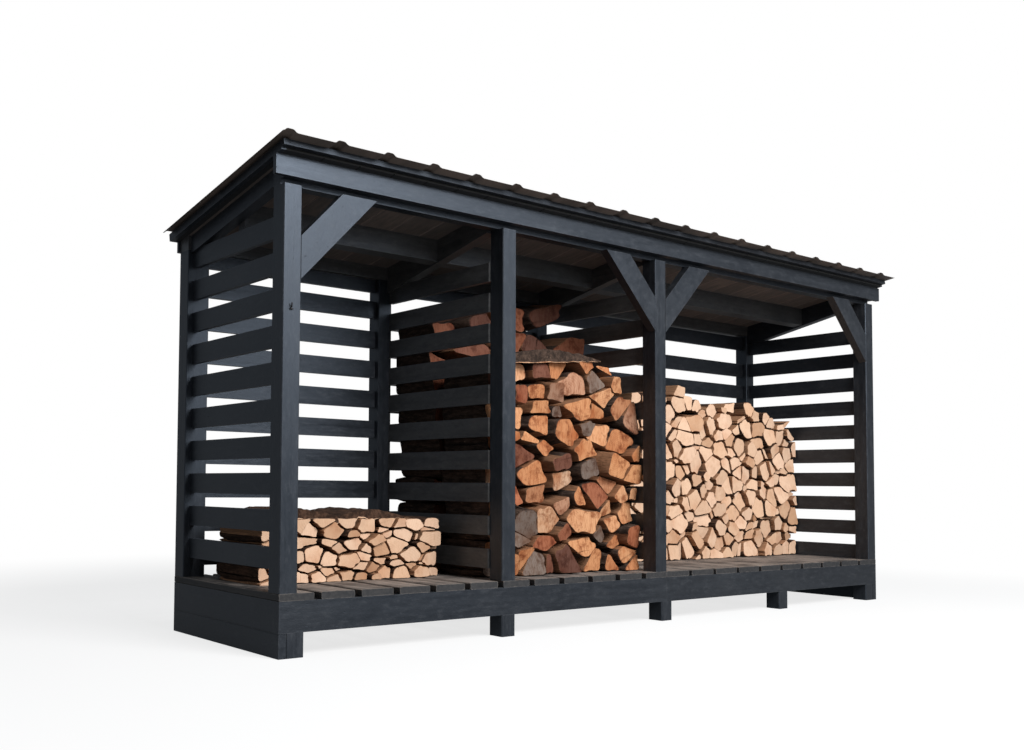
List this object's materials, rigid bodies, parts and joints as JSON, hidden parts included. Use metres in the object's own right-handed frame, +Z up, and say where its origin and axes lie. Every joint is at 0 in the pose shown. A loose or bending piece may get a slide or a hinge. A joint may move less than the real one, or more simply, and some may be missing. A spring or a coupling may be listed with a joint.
{
  "type": "log store",
  "caption": "Open-fronted timber log store with slatted walls, a raised board floor, knee braces and a ribbed mono-pitch roof, holding split firewood.",
  "frame": {"origin": "on the ground, under the middle of the roof's outline", "axes": "+X along the open front towards the right as seen from the front, +Y from the open front to the back, +Z up"},
  "size_m": [3.702, 0.8598, 1.6599],
  "materials": {
    "dark_paint": "matt charcoal paint on planed softwood",
    "floor_paint": "worn matt charcoal paint",
    "roof_board_wood": "weathered brown tongue-and-groove boards",
    "roof_metal": "matt grey-brown coating",
    "split_wood": "bare split wood with bark"
  },
  "bodies": {
    "root": {"back_fascia": "dark_paint", "back_feet": "dark_paint", "back_header_board": "dark_paint", "back_left_post": "dark_paint", "back_plate": "dark_paint", "back_right_post": "dark_paint", "back_rim": "dark_paint", "back_second_post": "dark_paint", "back_slats_left": "dark_paint", "back_slats_middle": "dark_paint", "back_slats_right": "dark_paint", "back_third_post": "dark_paint", "cross_joists": "dark_paint", "firewood_left": "split_wood", "firewood_middle": "split_wood", "firewood_right": "split_wood", "floor_boards_left": "floor_paint", "floor_boards_right": "floor_paint", "front_fascia": "dark_paint", "front_feet": "dark_paint", "front_header_board": "dark_paint", "front_left_post": "dark_paint", "front_plate": "dark_paint", "front_right_post": "dark_paint", "front_rim_left": "dark_paint", "front_rim_right": "dark_paint", "front_second_post": "dark_paint", "front_third_post": "dark_paint", "left_brace": "dark_paint", "left_lower_end_board": "dark_paint", "left_top_rail": "dark_paint", "left_upper_end_board": "dark_paint", "left_verge_strip": "dark_paint", "left_wall_slats": "dark_paint", "long_joists": "dark_paint", "mid_purlin": "dark_paint", "middle_left_brace": "dark_paint", "middle_right_brace": "dark_paint", "partition_1_slats": "dark_paint", "partition_1_top_rail": "dark_paint", "partition_2_slats": "dark_paint", "partition_2_top_rail": "dark_paint", "right_brace": "dark_paint", "right_lower_end_board": "dark_paint", "right_top_rail": "dark_paint", "right_upper_end_board": "dark_paint", "right_verge_strip": "dark_paint", "right_wall_slats": "dark_paint", "roof_boards": "roof_board_wood", "roof_sheets": "roof_metal"}
  },
  "joints": []
}
